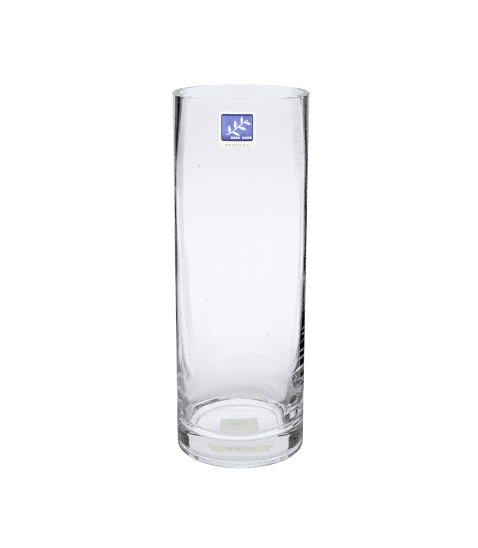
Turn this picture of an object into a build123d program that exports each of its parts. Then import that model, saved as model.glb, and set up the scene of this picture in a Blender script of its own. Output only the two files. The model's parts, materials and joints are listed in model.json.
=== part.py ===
from build123d import *
import math
import os

# Straight-sided glass cylinder vase with a stuck-on front label and a base sticker.
# Millimetres, +Z up. Origin: centre of the foot ring, on the surface the vase stands on.
# The labelled front of the vase faces -Y.

# ---- driving dimensions: glass ----
outer_diameter = 90.0
height = 250.0
base_thickness = 16.6        # floor of the cavity above the table
floor_fillet = 11.0          # cove between the cavity floor and its wall
recess_depth = 2.2           # hollow moulded into the underside
recess_radius = 34.0         # where the hollow's slope meets the foot ring
recess_slope = 3.0           # radial width of that slope
foot_edge_radius = 2.2       # rounded outer edge of the foot
rim_wall = 4.9               # glass thickness at the mouth
rim_edge_radius = 0.6        # softened edges of the flat ground rim

# Wall thickness down the side: thick at the mouth, thin at mid height, thick again
# above the base, as a blown cylinder sets.
wall_sections = [
    (27.6, 6.6),
    (40.0, 5.3),
    (54.0, 4.3),
    (66.0, 3.1),
    (78.0, 2.5),
    (100.0, 1.8),
    (140.0, 1.6),
    (180.0, 1.8),
    (205.0, 2.3),
    (225.0, 3.5),
    (240.0, 4.5),
]

# ---- driving dimensions: front label ----
label_gap = 0.0
backing_width = 22.8         # along the glass
backing_bottom = 219.7
backing_top = 243.1
backing_corner = 1.6
backing_thickness = 0.12
label_arc_centre = -2.2      # arc offset of the backing from the -Y line
panel_width = 19.8
panel_bottom = 224.7
panel_top = 241.5
panel_offset = -0.2          # panel centre against the backing centre
panel_corner = 1.2
panel_thickness = 0.08
mark_thickness = 0.06

# ---- driving dimensions: base sticker ----
sticker_length = 27.8        # along X
sticker_width = 16.0         # along Y
sticker_centre = (0.25, -0.6)
sticker_corner = 1.0
sticker_thickness = 0.10
sticker_mark_thickness = 0.05

outer_radius = outer_diameter / 2
inner_radius_low = outer_radius - wall_sections[0][1]
inner_radius_rim = outer_radius - rim_wall


# The vase body: one closed profile, revolved about the Z axis.
with BuildPart() as vase_body:
    with BuildSketch(Plane.XZ) as body_profile:
        with BuildLine() as outline:
            # underside: flat recess, short slope, foot ring
            Polyline(
                (0, recess_depth),
                (recess_radius - recess_slope, recess_depth),
                (recess_radius, 0),
                (outer_radius - foot_edge_radius, 0),
            )
            # rounded foot edge, standing on the straight outer wall
            RadiusArc(
                (outer_radius - foot_edge_radius, 0),
                (outer_radius, foot_edge_radius),
                -foot_edge_radius,
            )
            Line((outer_radius, foot_edge_radius), (outer_radius, height - rim_edge_radius))
            # flat rim between two softened edges
            RadiusArc(
                (outer_radius, height - rim_edge_radius),
                (outer_radius - rim_edge_radius, height),
                -rim_edge_radius,
            )
            Line(
                (outer_radius - rim_edge_radius, height),
                (inner_radius_rim + rim_edge_radius, height),
            )
            RadiusArc(
                (inner_radius_rim + rim_edge_radius, height),
                (inner_radius_rim, height - rim_edge_radius),
                -rim_edge_radius,
            )
            # inner wall, following the change in glass thickness
            Spline(
                [(inner_radius_rim, height - rim_edge_radius)]
                + [(outer_radius - t, z) for z, t in reversed(wall_sections)],
                tangents=[(0, -1), (0, -1)],
            )
            # cove down to the cavity floor
            RadiusArc(
                (inner_radius_low, base_thickness + floor_fillet),
                (inner_radius_low - floor_fillet, base_thickness),
                floor_fillet,
            )
            Line((inner_radius_low - floor_fillet, base_thickness), (0, base_thickness))
            Line((0, base_thickness), (0, recess_depth))
        make_face()
    revolve(axis=Axis.Z)
vase_body.part.label = "vase_body"


# Thin films on the round front of the glass. Each is a flat outline pushed outward
# from the axis and trimmed to a thin cylindrical layer.
label_angle = label_arc_centre / outer_radius
label_normal = (math.sin(label_angle), -math.cos(label_angle), 0)
label_across = (math.cos(label_angle), math.sin(label_angle), 0)
backing_mid = (backing_bottom + backing_top) / 2
panel_mid = (panel_bottom + panel_top) / 2
backing_plane = Plane(origin=(0, 0, backing_mid), x_dir=label_across, z_dir=label_normal)
panel_plane = Plane(origin=(0, 0, panel_mid), x_dir=label_across, z_dir=label_normal)

backing_inner = outer_radius + label_gap
backing_outer = backing_inner + backing_thickness
panel_outer = backing_outer + panel_thickness
motif_outer = panel_outer + mark_thickness
caption_outer = backing_outer + mark_thickness

# White backing of the label.
with BuildPart() as label_backing:
    with BuildSketch(backing_plane):
        RectangleRounded(backing_width, backing_top - backing_bottom, backing_corner)
    extrude(amount=outer_radius + 5)
    with BuildSketch(Plane.XZ):
        with Locations(((backing_inner + backing_outer) / 2, backing_mid)):
            Rectangle(backing_thickness, 40)
    revolve(axis=Axis.Z, mode=Mode.INTERSECT)
label_backing.part.label = "label_backing"

# Blue printed panel.
with BuildPart() as label_panel:
    with BuildSketch(panel_plane):
        with Locations((panel_offset, 0)):
            RectangleRounded(panel_width, panel_top - panel_bottom, panel_corner)
    extrude(amount=outer_radius + 5)
    with BuildSketch(Plane.XZ):
        with Locations(((backing_outer + panel_outer) / 2, panel_mid)):
            Rectangle(panel_thickness, 40)
    revolve(axis=Axis.Z, mode=Mode.INTERSECT)
label_panel.part.label = "label_panel"

# White motif on the panel: a generic sprig with leaves, and a row of short dashes.
stem_points = [
    (-6.9, -4.5), (-5.6, -4.0), (-4.3, -3.35), (-3.0, -2.5), (-1.7, -1.45), (-0.4, -0.3),
    (0.9, 0.9), (2.2, 2.05), (3.6, 3.1), (5.0, 4.0), (6.6, 4.8),
]
stem_width = 0.6
leaf_spots = [
    # root x, root y, length, width, direction in degrees
    (-4.6, -3.5, 5.0, 1.6, 96),
    (-3.2, -2.6, 5.2, 1.6, -24),
    (-1.2, -1.0, 5.6, 1.7, 92),
    (0.6, 0.6, 5.4, 1.6, -20),
    (2.6, 2.4, 4.8, 1.5, 88),
    (4.2, 3.4, 4.6, 1.4, -16),
]
leaf_steps = 14
panel_dashes = [
    (-3.4, 1.1), (-2.0, 0.8), (-0.7, 1.0), (0.8, 1.1), (3.7, 1.1), (5.2, 1.0), (6.6, 0.8), (8.1, 1.2),
]
panel_dash_height = 1.4
panel_dash_level = -6.2


def leaf_outline(root_x, root_y, length, width, turn):
    """Points round one pointed leaf."""
    sides = []
    for side in (1, -1):
        steps = range(leaf_steps) if side == 1 else range(leaf_steps, 0, -1)
        for k in steps:
            t = k / leaf_steps
            along = length * t
            across = side * 0.5 * width * math.sin(math.pi * t) ** 0.8
            c, s = math.cos(math.radians(turn)), math.sin(math.radians(turn))
            sides.append((root_x + along * c - across * s, root_y + along * s + across * c))
    return sides


def stem_outline(points, width):
    """Points round a band of even width that follows the stem."""
    left, right = [], []
    for k, (x, y) in enumerate(points):
        x0, y0 = points[max(k - 1, 0)]
        x1, y1 = points[min(k + 1, len(points) - 1)]
        run = math.hypot(x1 - x0, y1 - y0)
        nx, ny = -(y1 - y0) / run, (x1 - x0) / run
        left.append((x + nx * width / 2, y + ny * width / 2))
        right.append((x - nx * width / 2, y - ny * width / 2))
    return left + right[::-1]


with BuildPart() as label_motif:
    with BuildSketch(panel_plane):
        with BuildLine():
            Polyline(*stem_outline(stem_points, stem_width), close=True)
        make_face()
        for leaf in leaf_spots:
            with BuildLine():
                Polyline(*leaf_outline(*leaf), close=True)
            make_face()
        for dash_x, dash_length in panel_dashes:
            with Locations((dash_x, panel_dash_level)):
                Rectangle(dash_length, panel_dash_height)
    extrude(amount=outer_radius + 5)
    with BuildSketch(Plane.XZ):
        with Locations(((panel_outer + motif_outer) / 2, panel_mid)):
            Rectangle(mark_thickness, 40)
    revolve(axis=Axis.Z, mode=Mode.INTERSECT)
label_motif.part.label = "label_motif"

# Grey dashes under the panel, in place of a line of small print.
caption_dashes = [
    (-6.9, 1.6), (-4.7, 1.5), (-2.6, 1.3), (-0.5, 1.6), (1.8, 1.7), (4.2, 1.6), (6.5, 1.5),
]
caption_height = 1.1
caption_level = 222.2
with BuildPart() as label_caption:
    with BuildSketch(backing_plane):
        for dash_x, dash_length in caption_dashes:
            with Locations((dash_x, caption_level - backing_mid)):
                Rectangle(dash_length, caption_height)
    extrude(amount=outer_radius + 5)
    with BuildSketch(Plane.XZ):
        with Locations(((backing_outer + caption_outer) / 2, backing_mid)):
            Rectangle(mark_thickness, 40)
    revolve(axis=Axis.Z, mode=Mode.INTERSECT)
label_caption.part.label = "label_caption"


# Paper sticker on the recessed underside.
sticker_top = recess_depth
sticker_bottom = recess_depth - sticker_thickness
with BuildPart() as base_sticker:
    with BuildSketch(Plane.XY.offset(sticker_bottom)):
        with Locations(sticker_centre):
            RectangleRounded(sticker_length, sticker_width, sticker_corner)
    extrude(amount=sticker_thickness)
base_sticker.part.label = "base_sticker"

# Generic bars printed on the sticker's lower face.
bar_marks = [
    # x offset, bar width
    (-6.0, 0.8), (-4.4, 1.2), (-2.7, 0.6), (-1.3, 1.4), (0.6, 0.7), (2.0, 1.2), (3.8, 0.6), (5.4, 1.3),
]
bar_height = 6.0
with BuildPart() as base_sticker_print:
    with BuildSketch(Plane.XY.offset(sticker_bottom - sticker_mark_thickness)):
        for bar_x, bar_width in bar_marks:
            with Locations((sticker_centre[0] + bar_x, sticker_centre[1] + 0.5)):
                Rectangle(bar_width, bar_height)
        with Locations(
            (sticker_centre[0], sticker_centre[1] - 5.4),
            (sticker_centre[0], sticker_centre[1] + 6.2),
        ):
            Rectangle(16.0, 0.7)
    extrude(amount=sticker_mark_thickness)
base_sticker_print.part.label = "base_sticker_print"


os.makedirs("parts", exist_ok=True)
export_step(vase_body.part, "parts/vase_body.step")
export_step(label_backing.part, "parts/label_backing.step")
export_step(label_panel.part, "parts/label_panel.step")
export_step(label_motif.part, "parts/label_motif.step")
export_step(label_caption.part, "parts/label_caption.step")
export_step(base_sticker.part, "parts/base_sticker.step")
export_step(base_sticker_print.part, "parts/base_sticker_print.step")

for piece in (
    vase_body, label_backing, label_panel, label_motif, label_caption, base_sticker, base_sticker_print,
):
    box = piece.part.bounding_box()
    print(
        piece.part.label, "valid", piece.part.is_valid, "solids", len(piece.part.solids()),
        "volume", round(piece.part.volume, 3),
        "box", [round(v, 3) for v in (*box.min, *box.max)],
    )
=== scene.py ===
import bpy
import bmesh
import json
import math
import numpy as np
from mathutils import Matrix, Vector

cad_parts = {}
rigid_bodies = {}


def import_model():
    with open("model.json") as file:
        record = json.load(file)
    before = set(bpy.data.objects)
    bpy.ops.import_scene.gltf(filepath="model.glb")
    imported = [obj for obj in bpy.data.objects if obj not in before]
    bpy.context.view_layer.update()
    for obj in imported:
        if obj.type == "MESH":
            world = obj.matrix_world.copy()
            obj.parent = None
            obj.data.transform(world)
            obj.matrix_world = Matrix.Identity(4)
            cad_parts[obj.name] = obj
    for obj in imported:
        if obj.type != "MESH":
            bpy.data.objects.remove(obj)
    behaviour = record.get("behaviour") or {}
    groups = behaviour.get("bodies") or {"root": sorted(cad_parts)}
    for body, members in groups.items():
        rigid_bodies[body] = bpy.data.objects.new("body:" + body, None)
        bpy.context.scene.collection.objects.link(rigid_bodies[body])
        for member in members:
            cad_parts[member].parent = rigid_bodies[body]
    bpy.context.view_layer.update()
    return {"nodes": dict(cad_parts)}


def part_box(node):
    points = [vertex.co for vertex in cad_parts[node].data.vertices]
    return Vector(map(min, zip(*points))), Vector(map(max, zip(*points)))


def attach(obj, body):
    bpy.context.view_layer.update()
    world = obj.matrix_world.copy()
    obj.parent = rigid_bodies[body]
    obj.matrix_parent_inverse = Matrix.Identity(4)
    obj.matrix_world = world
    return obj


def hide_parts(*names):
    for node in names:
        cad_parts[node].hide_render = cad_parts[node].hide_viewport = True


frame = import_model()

scene = bpy.context.scene
MM = 0.001

# ---------------------------------------------------------------------------
# driving sizes of the glass, in millimetres; the height is taken from the imported frame
# ---------------------------------------------------------------------------
body_low, body_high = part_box("vase_body")
HEIGHT = body_high[2] / MM
R_OUT = 45.0

RECESS = 2.18            # underside recess; the sticker's top face sits just inside the glass
RECESS_R = 34.0
RECESS_SLOPE = 3.0
FOOT_EDGE = 2.2
RIM_WALL = 4.9
RIM_EDGE = 0.6
FLOOR_Z = 16.6
COVE = 11.0
COVE_RUN = 9.2          # the cove is a little taller than it is deep

# wall thickness against height, and how far the inner wall's axis stands off the outer one
WALL = [
    (27.6, 6.6), (40.0, 5.3), (54.0, 4.3), (66.0, 3.3), (78.0, 2.8), (100.0, 2.0),
    (140.0, 1.6), (180.0, 1.8), (205.0, 2.3), (225.0, 3.5), (240.0, 4.5), (249.4, 4.9),
]
OFF_X = [
    (0.0, -1.7), (18.0, -1.7), (30.0, -1.6), (40.0, -1.1), (54.0, -0.7), (66.0, -0.2), (80.0, 0.05),
    (120.0, 0.12), (160.0, 0.0), (200.0, 0.1), (220.0, 0.25), (240.0, 0.35), (250.0, 0.4),
]

# settle rings in the lower wall: height on the left and right sides, depth, and run above, all mm
SETTLE = [
    (59.0, 60.5, 0.08, 13.0), (47.2, 48.2, 0.16, 12.0), (36.6, 38.0, 0.14, 11.0),
]
COVE_RIDGE = 0.012        # ripple height on the cove between wall and floor
COVE_PITCH = 2.6

# seeds trapped in the glass: azimuth from +Y (degrees), height, radial place, half width, half height (mm)
SEEDS = [
    (-143.5, 207.4, 44.15, 0.34, 1.05), (127.5, 221.5, 43.6, 0.42, 0.42), (-150.3, 119.0, 44.1, 0.36, 0.36),
    (156.3, 96.5, 44.0, 0.40, 0.40), (149.8, 17.5, 43.6, 0.42, 0.42), (110.0, 15.5, 42.6, 0.42, 0.42),
    (-2.8, 25.0, 43.4, 0.30, 0.24), (0.8, 24.4, 43.2, 0.30, 0.22),
]

AROUND = 320             # columns round the axis


# ---------------------------------------------------------------------------
# small helpers
# ---------------------------------------------------------------------------
def curve_at(points, zs):
    """Smooth curve through (z, value) points, evaluated at zs."""
    z = np.array([p[0] for p in points], float)
    v = np.array([p[1] for p in points], float)
    slope = np.gradient(v, z)
    q = np.clip(np.asarray(zs, float), z[0], z[-1])
    i = np.clip(np.searchsorted(z, q, side="right") - 1, 0, len(z) - 2)
    h = z[i + 1] - z[i]
    t = (q - z[i]) / h
    return ((2 * t**3 - 3 * t**2 + 1) * v[i] + (t**3 - 2 * t**2 + t) * h * slope[i]
            + (-2 * t**3 + 3 * t**2) * v[i + 1] + (t**3 - t**2) * h * slope[i + 1])


def smooth(x, a, b):
    t = np.clip((np.asarray(x, float) - a) / (b - a), 0, 1)
    return t * t * (3 - 2 * t)


def link(obj):
    scene.collection.objects.link(obj)
    return obj


class Nodes:
    """Short way to write a node tree."""

    def __init__(self, tree):
        self.tree = tree
        tree.nodes.clear()

    def add(self, kind, **settings):
        node = self.tree.nodes.new(kind)
        for key, value in settings.items():
            setattr(node, key, value)
        return node

    def put(self, socket, value):
        if value is None:
            return
        if hasattr(value, "links"):
            self.tree.links.new(value, socket)
        elif isinstance(value, (tuple, list)) and len(value) == 3 and socket.type == "RGBA":
            socket.default_value = (*value, 1.0)
        else:
            socket.default_value = value

    def math(self, op, a, b=None, c=None, clamp=False):
        node = self.add("ShaderNodeMath", operation=op, use_clamp=clamp)
        for i, v in enumerate((a, b, c)):
            self.put(node.inputs[i], v)
        return node.outputs[0]

    def ramp(self, value, a, b, low=0.0, high=1.0, kind="SMOOTHSTEP"):
        node = self.add("ShaderNodeMapRange", interpolation_type=kind)
        if a > b:
            a, b, low, high = b, a, high, low
        self.put(node.inputs["Value"], value)
        self.put(node.inputs["From Min"], a)
        self.put(node.inputs["From Max"], b)
        self.put(node.inputs["To Min"], low)
        self.put(node.inputs["To Max"], high)
        return node.outputs[0]

    def band(self, value, low, high, soft):
        """1 between low and high, fading over soft on each side."""
        return self.math("MULTIPLY", self.ramp(value, low - soft, low + soft),
                         self.ramp(value, high + soft, high - soft))

    def mix(self, factor, a, b):
        node = self.add("ShaderNodeMix", data_type="RGBA")
        self.put(node.inputs["Factor"], factor)
        self.put(node.inputs["A"], a)
        self.put(node.inputs["B"], b)
        return node.outputs["Result"]

    def noise(self, vector, scale, detail=3.0, rough=0.5):
        node = self.add("ShaderNodeTexNoise")
        self.put(node.inputs["Vector"], vector)
        self.put(node.inputs["Scale"], scale)
        self.put(node.inputs["Detail"], detail)
        self.put(node.inputs["Roughness"], rough)
        return node.outputs["Fac"]

    def scaled(self, vector, sx, sy, sz):
        node = self.add("ShaderNodeMapping")
        self.put(node.inputs["Vector"], vector)
        node.inputs["Scale"].default_value = (sx, sy, sz)
        return node.outputs["Vector"]

    def coords(self):
        node = self.add("ShaderNodeTexCoord")
        return node.outputs["Object"]

    def split(self, vector):
        node = self.add("ShaderNodeSeparateXYZ")
        self.put(node.inputs[0], vector)
        return node.outputs

    def bump(self, height, strength, distance):
        node = self.add("ShaderNodeBump")
        self.put(node.inputs["Height"], height)
        node.inputs["Strength"].default_value = strength
        node.inputs["Distance"].default_value = distance
        return node.outputs["Normal"]


def new_material(name):
    mat = bpy.data.materials.new(name)
    mat.use_nodes = True
    n = Nodes(mat.node_tree)
    out = n.add("ShaderNodeOutputMaterial")
    shader = n.add("ShaderNodeBsdfPrincipled")
    n.tree.links.new(shader.outputs[0], out.inputs["Surface"])
    return mat, n, shader


def dress(node_name, mat):
    obj = bpy.data.objects[frame["nodes"][node_name]] if isinstance(frame["nodes"][node_name], str) else frame["nodes"][node_name]
    if not obj.material_slots:
        obj.data.materials.append(mat)
    for slot in obj.material_slots:
        slot.material = mat
    return obj


# ---------------------------------------------------------------------------
# the glass: one revolved skin with an off-centre, uneven inner wall
# ---------------------------------------------------------------------------
def underside(r):
    """Height of the underside: level over the recess, then a short slope down to the foot ring."""
    t = min(max((r - RECESS_R + RECESS_SLOPE) / RECESS_SLOPE, 0.0), 1.0)
    return RECESS * (1 - (3 * t * t - 2 * t**3))


def glass_rows():
    """Rows of the profile as (kind, r, z), from the underside's centre to the cavity floor's centre."""
    rows = []
    for r in [0.0, 8.0, 16.0, 24.0, *np.linspace(RECESS_R - RECESS_SLOPE, RECESS_R, 17), 37.0, 40.0, R_OUT - FOOT_EDGE]:
        rows.append(("under", r, underside(r)))
    for a in np.linspace(-math.pi / 2, 0, 13)[1:]:
        rows.append(("outer", R_OUT - FOOT_EDGE + FOOT_EDGE * math.cos(a), FOOT_EDGE + FOOT_EDGE * math.sin(a)))
    for z in np.linspace(FOOT_EDGE, HEIGHT - RIM_EDGE, 150)[1:]:
        rows.append(("outer", R_OUT, z))
    for a in np.linspace(0, math.pi / 2, 7)[1:]:
        rows.append(("rim", R_OUT - RIM_EDGE + RIM_EDGE * math.cos(a), HEIGHT - RIM_EDGE + RIM_EDGE * math.sin(a)))
    inner_r = R_OUT - RIM_WALL
    for r in np.linspace(R_OUT - RIM_EDGE, inner_r + RIM_EDGE, 6)[1:]:
        rows.append(("rim", r, HEIGHT))
    for a in np.linspace(math.pi / 2, math.pi, 7)[1:]:
        rows.append(("rim", inner_r + RIM_EDGE + RIM_EDGE * math.cos(a), HEIGHT - RIM_EDGE + RIM_EDGE * math.sin(a)))
    zs = np.concatenate([np.linspace(HEIGHT - RIM_EDGE, 90.0, 120)[1:], np.arange(89.6, FLOOR_Z + COVE, -0.4), [FLOOR_Z + COVE]])
    for z, w in zip(zs, curve_at(WALL, zs)):
        rows.append(("inner", R_OUT - w, z))
    r0 = rows[-1][1]
    for a in np.linspace(0, math.pi / 2, 73)[1:]:
        s = COVE * a
        bump = COVE_RIDGE * math.sin(2 * math.pi * s / COVE_PITCH) * float(smooth(a, 0.15, 0.6)) * float(smooth(math.pi / 2 - a, 0.0, 0.15))
        rows.append(("cove", r0 - COVE_RUN + (COVE_RUN + bump) * math.cos(a), FLOOR_Z + COVE - (COVE + bump) * math.sin(a)))
    for r in np.linspace(r0 - COVE_RUN, 0, 14)[1:]:
        rows.append(("floor", r, FLOOR_Z))
    return rows


def settle(z, theta):
    """Extra wall thickness from the settle rings, at height z for every column angle."""
    side = 0.5 + 0.5 * np.cos(theta)                       # 0 on the left, 1 on the right
    reach = (0.03 + 0.97 * np.abs(np.cos(theta)) ** 5) * (0.75 - 0.30 * np.cos(theta))   # faint at front and back, stronger on the left
    total = np.zeros_like(theta)
    for left, right, depth, run in SETTLE:
        ring = left + (right - left) * side + 0.35 * np.sin(3 * theta + left) + 0.2 * np.sin(7 * theta + right)
        above = np.clip(1 - (z - ring) / run, 0, 1) ** 1.6
        below = 1 - smooth(ring - z, 0.0, 4.2)
        total += depth * reach * np.where(z >= ring, above, below)
    return total


def build_glass():
    rows = glass_rows()
    theta = np.linspace(0, 2 * math.pi, AROUND, endpoint=False)
    verts, faces, index = [], [], []
    rim_x = float(curve_at(OFF_X, [HEIGHT])[0])
    floor_x = float(curve_at(OFF_X, [FLOOR_Z])[0])
    for kind, r, z in rows:
        if r < 1e-6:
            index.append([len(verts)])
            verts.append((floor_x if kind == "floor" else 0.0, 0.0, z))
            continue
        rr = np.full(AROUND, r)
        zz = np.full(AROUND, z)
        dx = 0.0
        if kind == "outer":
            # a hair proud where the label is stuck, so that label and glass are in contact
            front = smooth(-np.sin(theta), 0.80, 0.93)
            rr = rr + 0.012 * front
        if kind == "rim":
            dx = rim_x * float(np.clip((R_OUT - RIM_EDGE - r) / (RIM_WALL - 2 * RIM_EDGE), 0, 1))
        if kind in ("inner", "cove"):
            dx = float(curve_at(OFF_X, [z])[0])
            unrest = 0.045 * np.sin(2 * theta + z / 17.0) + 0.03 * np.sin(3 * theta - z / 9.5 + 1.3)
            fade = float(smooth(z, 45, 95) * (1 - smooth(z, 225, 244)))
            rr = rr - fade * unrest - settle(z, theta) * float(smooth(z, FLOOR_Z + 2.0, FLOOR_Z + 8.0))
        if kind == "floor":
            dx = floor_x
        start = len(verts)
        index.append(list(range(start, start + AROUND)))
        for k in range(AROUND):
            verts.append((rr[k] * math.cos(theta[k]) + dx, rr[k] * math.sin(theta[k]), zz[k]))
    for i in range(len(rows) - 1):
        a, b = index[i], index[i + 1]
        for k in range(AROUND):
            m = (k + 1) % AROUND
            if len(a) == 1:
                faces.append((a[0], b[m], b[k]))
            elif len(b) == 1:
                faces.append((a[k], a[m], b[0]))
            else:
                faces.append((a[k], a[m], b[m], b[k]))
    # seeds: tiny closed hollows inside the glass, their faces turned into the hollow
    for az, height, place, wide, tall in SEEDS:
        phi = math.radians(az)
        out = np.array([math.sin(phi), math.cos(phi), 0.0])
        side = np.array([math.cos(phi), -math.sin(phi), 0.0])
        up = np.array([0.0, 0.0, 1.0])
        centre = out * place + up * height
        rings, cols = 8, 14
        start = len(verts)
        verts.append(tuple(centre + up * tall))
        for i in range(1, rings):
            u = math.pi * i / rings
            for k in range(cols):
                v = 2 * math.pi * k / cols
                verts.append(tuple(centre + up * tall * math.cos(u) + (side * math.cos(v) + out * math.sin(v) * 0.8) * wide * math.sin(u)))
        verts.append(tuple(centre - up * tall))
        last = len(verts) - 1
        ring = lambda i, k: start + 1 + (i - 1) * cols + k % cols
        for k in range(cols):
            faces.append((start, ring(1, k + 1), ring(1, k)))
            faces.append((last, ring(rings - 1, k), ring(rings - 1, k + 1)))
            for i in range(1, rings - 1):
                faces.append((ring(i, k), ring(i, k + 1), ring(i + 1, k + 1), ring(i + 1, k)))
    mesh = bpy.data.meshes.new("vase_glass")
    mesh.from_pydata([(x * MM, y * MM, z * MM) for x, y, z in verts], [], faces)
    mesh.update()
    bm = bmesh.new()
    bm.from_mesh(mesh)
    bm.verts.ensure_lookup_table()
    skin = len(verts) - len(SEEDS) * (2 + 7 * 14)
    bmesh.ops.recalc_face_normals(bm, faces=[f for f in bm.faces if all(v.index < skin for v in f.verts)])
    hollows = [f for f in bm.faces if any(v.index >= skin for v in f.verts)]
    bmesh.ops.recalc_face_normals(bm, faces=hollows)
    bmesh.ops.reverse_faces(bm, faces=hollows)
    bm.to_mesh(mesh)
    bm.free()
    for poly in mesh.polygons:
        poly.use_smooth = True
    return link(bpy.data.objects.new("vase_glass", mesh))


vase = build_glass()
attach(vase, "root")
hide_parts("vase_body")

# ---------------------------------------------------------------------------
# materials
# ---------------------------------------------------------------------------
glass_mat, n, shader = new_material("clear_glass_look")
shader.inputs["Base Color"].default_value = (0.985, 0.985, 1.0, 1.0)
shader.inputs["Transmission Weight"].default_value = 1.0
shader.inputs["Roughness"].default_value = 0.0
shader.inputs["IOR"].default_value = 1.52
vase.data.materials.append(glass_mat)

MILLI = 1000.0           # object coordinates in millimetres


def piece_axes(n):
    """Object coordinates of a label or sticker, split, in millimetres."""
    p = n.coords()
    x, y, z = n.split(p)
    return p, n.math("MULTIPLY", x, MILLI), n.math("MULTIPLY", y, MILLI), n.math("MULTIPLY", z, MILLI)


def inset(n, value, low, high):
    """Distance inwards from the nearer of two straight edges."""
    return n.math("MINIMUM", n.math("SUBTRACT", value, low), n.math("SUBTRACT", high, value))


# coated white paper, a trace of cream in its mottle, greyer towards the lower edge
backing_mat, n, shader = new_material("label_white_look")
p, x, y, z = piece_axes(n)
mottle = n.noise(p, 620, 4, 0.6)
paper = n.mix(n.ramp(mottle, 0.34, 0.66), (0.855, 0.860, 0.820), (0.930, 0.930, 0.905))
paper = n.mix(n.ramp(z, 223.4, 219.9), paper, (0.79, 0.795, 0.81))
n.put(shader.inputs["Base Color"], paper)
n.put(shader.inputs["Roughness"], n.ramp(mottle, 0.3, 0.7, 0.30, 0.42))
n.put(shader.inputs["Normal"], n.bump(n.noise(p, 1800, 2, 0.5), 0.10, 0.00002))
dress("label_backing", backing_mat)

# blue panel: navy keyline, cloudy mid blue, paler to the left as a painted sheen, and deeper along the foot
PANEL_X, PANEL_LOW, PANEL_HIGH, PANEL_HALF = -2.4, 224.7, 241.5, 9.9
panel_mat, n, shader = new_material("label_blue_look")
p, x, y, z = piece_axes(n)
cloud = n.noise(p, 210, 4, 0.62)
grain = n.noise(p, 1500, 2, 0.5)
deep, mid, pale, navy = (0.075, 0.078, 0.36), (0.175, 0.205, 0.60), (0.235, 0.325, 0.74), (0.016, 0.014, 0.19)
blue = n.mix(n.ramp(cloud, 0.38, 0.62), mid, pale)
# painted sheen: the blue lightens towards the panel's left side
blue = n.mix(n.math("MULTIPLY", n.ramp(x, PANEL_X - 4.5, PANEL_X - 8.5), 0.55), blue, (0.25, 0.36, 0.78))
blue = n.mix(n.math("MULTIPLY", n.ramp(grain, 0.35, 0.65), 0.22), blue, deep)
blue = n.mix(n.math("MULTIPLY", n.ramp(z, 230.5, 226.2), 0.80), blue, deep)
blue = n.mix(n.math("MULTIPLY", n.ramp(z, 238.8, 240.4), 0.50), blue, (0.115, 0.125, 0.50))
ends = inset(n, z, PANEL_LOW, PANEL_HIGH)
sides = inset(n, x, PANEL_X - PANEL_HALF, PANEL_X + PANEL_HALF)
key = n.math("MAXIMUM", n.ramp(ends, 1.35, 0.75), n.math("MULTIPLY", n.ramp(sides, 0.75, 0.35), 0.85))
n.put(shader.inputs["Base Color"], n.mix(key, blue, navy))
n.put(shader.inputs["Roughness"], n.ramp(grain, 0.3, 0.7, 0.28, 0.40))
n.put(shader.inputs["Normal"], n.bump(grain, 0.08, 0.00002))
dress("label_panel", panel_mat)

# white ink, a little thin in places so the blue comes through
motif_mat, n, shader = new_material("label_motif_look")
p, x, y, z = piece_axes(n)
thin = n.noise(p, 900, 3, 0.6)
n.put(shader.inputs["Base Color"], n.mix(n.ramp(thin, 0.36, 0.60), (0.74, 0.76, 0.90), (0.93, 0.935, 0.96)))
n.put(shader.inputs["Roughness"], n.ramp(thin, 0.3, 0.7, 0.32, 0.45))
dress("label_motif", motif_mat)

# pale grey ink under the panel, broken by the paper's grain
caption_mat, n, shader = new_material("label_grey_look")
p, x, y, z = piece_axes(n)
broken = n.noise(p, 1300, 3, 0.6)
n.put(shader.inputs["Base Color"], n.mix(n.ramp(broken, 0.38, 0.62), (0.52, 0.52, 0.50), (0.70, 0.70, 0.68)))
n.put(shader.inputs["Roughness"], n.ramp(broken, 0.3, 0.7, 0.45, 0.6))
dress("label_caption", caption_mat)

# uncoated cream paper; the bars printed beneath show through faintly
sticker_mat, n, shader = new_material("sticker_paper_look")
p, x, y, z = piece_axes(n)
fibre = n.noise(n.scaled(p, 1.0, 2.4, 1.0), 420, 5, 0.68)
speck = n.noise(p, 1500, 2, 0.5)
paper = n.mix(n.ramp(fibre, 0.36, 0.64), (0.625, 0.615, 0.520), (0.745, 0.735, 0.640))
paper = n.mix(n.math("MULTIPLY", n.ramp(speck, 0.60, 0.72), 0.5), paper, (0.50, 0.49, 0.42))
through = None
for place_x, width, dark in ((-6.0, 0.8, 1.0), (-4.4, 1.2, 1.0), (-2.7, 0.6, 0.3), (-1.3, 1.4, 0.85), (0.6, 0.7, 0.5), (2.0, 1.2, 0.35), (3.8, 0.6, 0.6), (5.4, 1.3, 0.55)):
    bar = n.math("MULTIPLY", n.band(x, 0.25 + place_x - width / 2, 0.25 + place_x + width / 2, 0.25), dark)
    through = bar if through is None else n.math("MAXIMUM", through, bar)
through = n.math("MULTIPLY", through, n.band(y, -3.1, 2.9, 0.4))
paper = n.mix(n.math("MULTIPLY", through, 0.62), paper, (0.36, 0.36, 0.38))
# painted shade along the sticker's edges
edge = n.math("MINIMUM", inset(n, x, -13.65, 14.15), inset(n, y, -8.6, 7.4))
paper = n.mix(n.math("MULTIPLY", n.ramp(edge, 0.9, 0.1), 0.45), paper, (0.50, 0.49, 0.40))
n.put(shader.inputs["Base Color"], paper)
n.put(shader.inputs["Roughness"], n.ramp(fibre, 0.3, 0.7, 0.72, 0.88))
n.put(shader.inputs["Normal"], n.bump(fibre, 0.25, 0.00004))
dress("base_sticker", sticker_mat)

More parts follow.
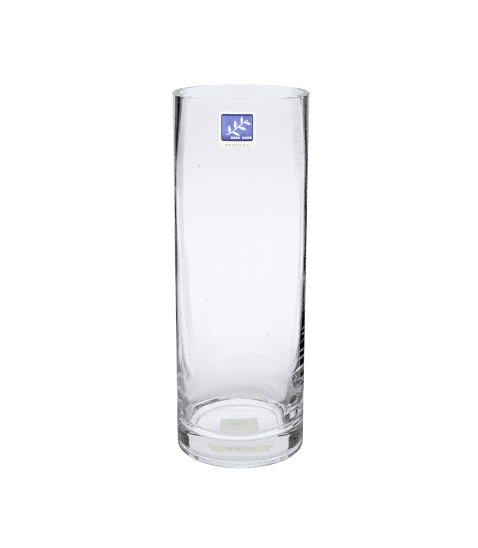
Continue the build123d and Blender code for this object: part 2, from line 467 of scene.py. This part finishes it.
# black print, slightly uneven coverage
print_mat, n, shader = new_material("sticker_print_look")
p, x, y, z = piece_axes(n)
cover = n.noise(p, 1100, 3, 0.6)
n.put(shader.inputs["Base Color"], n.mix(n.ramp(cover, 0.40, 0.68), (0.045, 0.044, 0.046), (0.16, 0.155, 0.15)))
n.put(shader.inputs["Roughness"], n.ramp(cover, 0.3, 0.7, 0.50, 0.70))
dress("base_sticker_print", print_mat)


# ---------------------------------------------------------------------------
# stage: white floor, white surround, and dark flags that only the glass sees
# ---------------------------------------------------------------------------
def emission_material(name, colour, strength):
    mat = bpy.data.materials.new(name)
    mat.use_nodes = True
    n = Nodes(mat.node_tree)
    out = n.add("ShaderNodeOutputMaterial")
    e = n.add("ShaderNodeEmission")
    n.put(e.inputs["Color"], colour)
    n.put(e.inputs["Strength"], strength)
    n.tree.links.new(e.outputs[0], out.inputs["Surface"])
    return mat


def disc(name, radius, z, segments=96, inner=0.0):
    mesh = bpy.data.meshes.new(name)
    if inner <= 0:
        verts = [(radius * math.cos(2 * math.pi * k / segments), radius * math.sin(2 * math.pi * k / segments), z) for k in range(segments)]
        mesh.from_pydata(verts, [], [tuple(range(segments))])
    else:
        verts = []
        for rr in (inner, radius):
            verts += [(rr * math.cos(2 * math.pi * k / segments), rr * math.sin(2 * math.pi * k / segments), z) for k in range(segments)]
        mesh.from_pydata(verts, [], [(k, (k + 1) % segments, segments + (k + 1) % segments, segments + k) for k in range(segments)])
    mesh.update()
    return link(bpy.data.objects.new(name, mesh))


LIGHT = 1.06             # floor and surround, a little over white

floor = disc("floor", 30.0, -0.0006)
floor.data.materials.append(emission_material("floor_white", (1, 1, 1), LIGHT))

world = bpy.data.worlds.new("surround")
scene.world = world
world.use_nodes = True
n = Nodes(world.node_tree)
out = n.add("ShaderNodeOutputWorld")
bg = n.add("ShaderNodeBackground")
bg.inputs["Color"].default_value = (1, 1, 1, 1)
bg.inputs["Strength"].default_value = LIGHT
n.tree.links.new(bg.outputs[0], out.inputs["Surface"])

# Scrims and flags round the vase, seen by the glass and not by the camera: a dome and a
# sheet on the table whose clearness varies with direction. Azimuths are degrees from +Y,
# clockwise seen from above; elevations are degrees above the table; radii are metres.
TINT = (0.955, 0.972, 1.0)

# clearness against radius on the table, behind the vase and at its sides; the darker stretch just beyond the foot is
# painted shade of the vase on the table
TABLE_BACK = [(0.0255, 0.60), (0.0300, 0.92), (0.0450, 0.92), (0.0475, 0.62), (0.07, 0.66), (0.10, 0.76), (0.13, 0.84), (0.17, 0.90), (0.23, 0.924), (0.60, 0.924), (1.5, 0.86), (4.0, 0.82)]
TABLE_SIDE = [(0.0255, 0.60), (0.0300, 0.92), (0.0450, 0.80), (0.0475, 0.10), (0.07, 0.12), (0.12, 0.40), (0.20, 0.85), (0.40, 0.92), (1.5, 0.84), (4.0, 0.82)]
BACK_SPAN = (-46, 47, 4)

# flags on the table: azimuth low, high, radius low, high, density
TABLE_FLAGS = [
    (-64.0, -24.0, 1.15, 9.0, 1.0),
    (31.0, 58.0, 0.12, 0.40, 1.0), (26.0, 56.0, 0.20, 0.45, 1.0), (20.0, 45.0, 0.42, 9.0, 1.0),
]
# the same, with softer upright edges
LEFT_FLAGS = [(-37.5, -30.0, 0.12, 1.15, 1.0), (-37.5, -25.0, 0.25, 1.15, 1.0), (-37.5, -21.0, 0.36, 1.15, 1.0)]

# flags on the dome: azimuth low, high, elevation low, high, density
DOME_FLAGS = [
    (-64.0, -25.0, -9, 19.5, 1.0), (24.0, 47.5, -9, 19.5, 1.0),
]
# clearness of the dome: against elevation behind the vase, and elsewhere
DOME_BACK = [(0, 0.82), (3.0, 0.86), (6.0, 0.92), (13.5, 0.92), (17.0, 0.80), (20, 0.72), (30, 0.72), (45, 0.80), (60, 0.90), (89, 0.95)]
DOME_SIDE = [(0, 0.82), (6, 0.78), (17, 0.45), (21, 0.03), (44, 0.03), (60, 0.22), (89, 0.25)]
HIGH_SPAN = (-40.5, 45.5, 1.1)
# side openings for the light that crosses the base: azimuth low, high, elevation low, high, clearness
DOME_OPEN = [(-108.0, -72.0, 4, 19, 0.75), (107.0, 163.0, 15, 38, 0.65)]


def log_place(n, radius):
    """Radius from 2 cm to 5 m on a 0 to 1 logarithmic scale."""
    return n.math("DIVIDE", n.math("LOGARITHM", n.math("MAXIMUM", n.math("DIVIDE", radius, 0.02), 1.0), 10.0), math.log10(250.0), clamp=True)


def log_pos(r):
    return math.log10(max(r / 0.02, 1.0)) / math.log10(250.0)


def graph(n, value, points, place=lambda v: v):
    node = n.add("ShaderNodeValToRGB")
    ramp = node.color_ramp
    ramp.interpolation = "LINEAR"
    while len(ramp.elements) < len(points):
        ramp.elements.new(0.5)
    for element, (x, v) in zip(ramp.elements, points):
        element.position = place(x)
        element.color = (v, v, v, 1)
    n.put(node.inputs["Fac"], value)
    return node.outputs["Color"]


def scrim_material(name, build):
    mat = bpy.data.materials.new(name)
    mat.use_nodes = True
    n = Nodes(mat.node_tree)
    out = n.add("ShaderNodeOutputMaterial")
    clear = n.add("ShaderNodeBsdfTransparent")
    place = n.coords()
    x, y, z = n.split(place)
    az = n.math("MULTIPLY", n.math("ARCTAN2", x, y), 180 / math.pi)
    radius = n.math("SQRT", n.math("ADD", n.math("MULTIPLY", x, x), n.math("MULTIPLY", y, y)))
    level = build(n, place, az, radius, z)
    # the flags shade only what the glass shows; light that falls on paper and print passes them
    path = n.add("ShaderNodeLightPath")
    level = n.math("MAXIMUM", level, n.math("MINIMUM", path.outputs["Diffuse Depth"], 1.0))
    comb = n.add("ShaderNodeCombineColor")
    for i in range(3):
        n.put(comb.inputs[i], n.math("MULTIPLY", level, TINT[i]))
    n.tree.links.new(comb.outputs[0], clear.inputs["Color"])
    n.tree.links.new(clear.outputs[0], out.inputs["Surface"])
    return mat


def flag_total(n, az, along, flags, soft, along_soft):
    total = None
    for lo, hi, start, end, dens in flags:
        b = n.math("MULTIPLY", n.math("MULTIPLY", n.band(az, lo, hi, soft), n.band(along, start, end, along_soft)), dens)
        total = b if total is None else n.math("MAXIMUM", total, b)
    return total


def dome_level(n, place, az, radius, z):
    el = n.math("MULTIPLY", n.math("ARCTAN2", z, radius), 180 / math.pi)
    part = n.math("DIVIDE", el, 90.0)
    wave = n.math("MULTIPLY", n.math("SUBTRACT", n.noise(place, 5.0, 2, 0.6), 0.5), 3.0)
    az_wavy = n.math("ADD", az, wave)
    back = graph(n, part, DOME_BACK, lambda v: v / 90.0)
    side = graph(n, part, DOME_SIDE, lambda v: v / 90.0)
    share = n.band(az_wavy, *HIGH_SPAN)
    base = n.math("ADD", n.math("MULTIPLY", back, share), n.math("MULTIPLY", side, n.math("SUBTRACT", 1.0, share)))
    for lo, hi, start, end, level in DOME_OPEN:
        gate = n.math("MULTIPLY", n.math("MULTIPLY", n.band(az, lo, hi, 3), n.band(el, start, end, 2)), level)
        base = n.math("MAXIMUM", base, gate)
    flags = flag_total(n, az, el, DOME_FLAGS, 0.9, 1.0)
    return n.math("MULTIPLY", base, n.math("SUBTRACT", 1.0, flags))


def table_level(n, place, az, radius, z):
    along = log_place(n, radius)
    back = graph(n, along, TABLE_BACK, log_pos)
    side = graph(n, along, TABLE_SIDE, log_pos)
    share = n.math("MAXIMUM", n.band(az, *BACK_SPAN), n.ramp(n.math("ABSOLUTE", az), 104, 118))
    base = n.math("ADD", n.math("MULTIPLY", back, share), n.math("MULTIPLY", side, n.math("SUBTRACT", 1.0, share)))
    scaled = lambda rows: [(lo, hi, log_pos(a), log_pos(b) if b < 4.5 else 1.5, d) for lo, hi, a, b, d in rows]
    # under the base the sheet lays painted shade on the white table, lighter towards the back
    x, y, z = n.split(place)
    beneath = n.math("MULTIPLY", n.ramp(radius, 0.034, 0.029), n.ramp(y, -0.012, 0.012, 0.66, 0.88))
    base = n.math("ADD", beneath, n.math("MULTIPLY", base, n.ramp(radius, 0.029, 0.034)))
    flags = n.math("MAXIMUM", flag_total(n, az, along, scaled(TABLE_FLAGS), 1.2, 0.02),
                   flag_total(n, az, along, scaled(LEFT_FLAGS), 3.0, 0.04))
    return n.math("MULTIPLY", base, n.math("SUBTRACT", 1.0, flags))


def hide_from_camera(obj):
    obj.visible_camera = False
    obj.visible_diffuse = False
    obj.visible_shadow = False


def ring_sheet(name, profile, segments=144):
    verts, faces = [], []
    for r, z in profile:
        verts += [(r * math.cos(2 * math.pi * k / segments), r * math.sin(2 * math.pi * k / segments), z) for k in range(segments)]
    for i in range(len(profile) - 1):
        for k in range(segments):
            m = (k + 1) % segments
            faces.append((i * segments + k, i * segments + m, (i + 1) * segments + m, (i + 1) * segments + k))
    mesh = bpy.data.meshes.new(name)
    mesh.from_pydata(verts, [], faces)
    mesh.update()
    return link(bpy.data.objects.new(name, mesh))


DOME_R = 4.0
dome = ring_sheet("studio_dome", [(DOME_R * math.cos(a), DOME_R * math.sin(a)) for a in np.radians([-0.0045, *np.linspace(0, 89.5, 40)])])
dome.data.materials.append(scrim_material("dome_scrim", dome_level))
hide_from_camera(dome)

card = ring_sheet("table_card", [(r, -0.0003) for r in (0.0001, 0.03, 0.0462, 0.06, 0.1, 0.2, 0.5, 1.0, 2.0, DOME_R)])
card.data.materials.append(scrim_material("table_scrim", table_level))
hide_from_camera(card)

# ---------------------------------------------------------------------------
# camera: the photograph's view
# ---------------------------------------------------------------------------
cam = bpy.data.cameras.new("photo_camera")
cam_obj = link(bpy.data.objects.new("photo_camera", cam))
cam.sensor_fit = "AUTO"
cam.sensor_width = 36.0
FOCAL_PX = 1065.8
cam.lens = FOCAL_PX / 548 * 36.0
pitch, roll, yaw = math.radians(16.438), math.radians(0.099), math.radians(-0.089)
right0 = Vector((math.cos(yaw), -math.sin(yaw), 0))
ahead0 = Vector((math.sin(yaw), math.cos(yaw), 0))
ahead = ahead0 * math.cos(pitch) + Vector((0, 0, -1)) * math.sin(pitch)
up0 = ahead0 * math.sin(pitch) + Vector((0, 0, 1)) * math.cos(pitch)
right = right0 * math.cos(roll) + up0 * math.sin(roll)
up = -right0 * math.sin(roll) + up0 * math.cos(roll)
place = Matrix((right, up, -ahead)).transposed().to_4x4()
place.translation = Vector((0, -15.616 * 0.045, 7.397 * 0.045))
cam_obj.matrix_world = place
scene.camera = cam_obj

scene.view_settings.view_transform = "Standard"
scene.view_settings.look = "None"
scene.cycles.max_bounces = 40
scene.cycles.transmission_bounces = 40
scene.cycles.glossy_bounces = 16
scene.cycles.transparent_max_bounces = 24
scene.cycles.caustics_reflective = True
scene.cycles.caustics_refractive = True
scene.cycles.blur_glossy = 0.0
scene.cycles.filter_width = 1.1
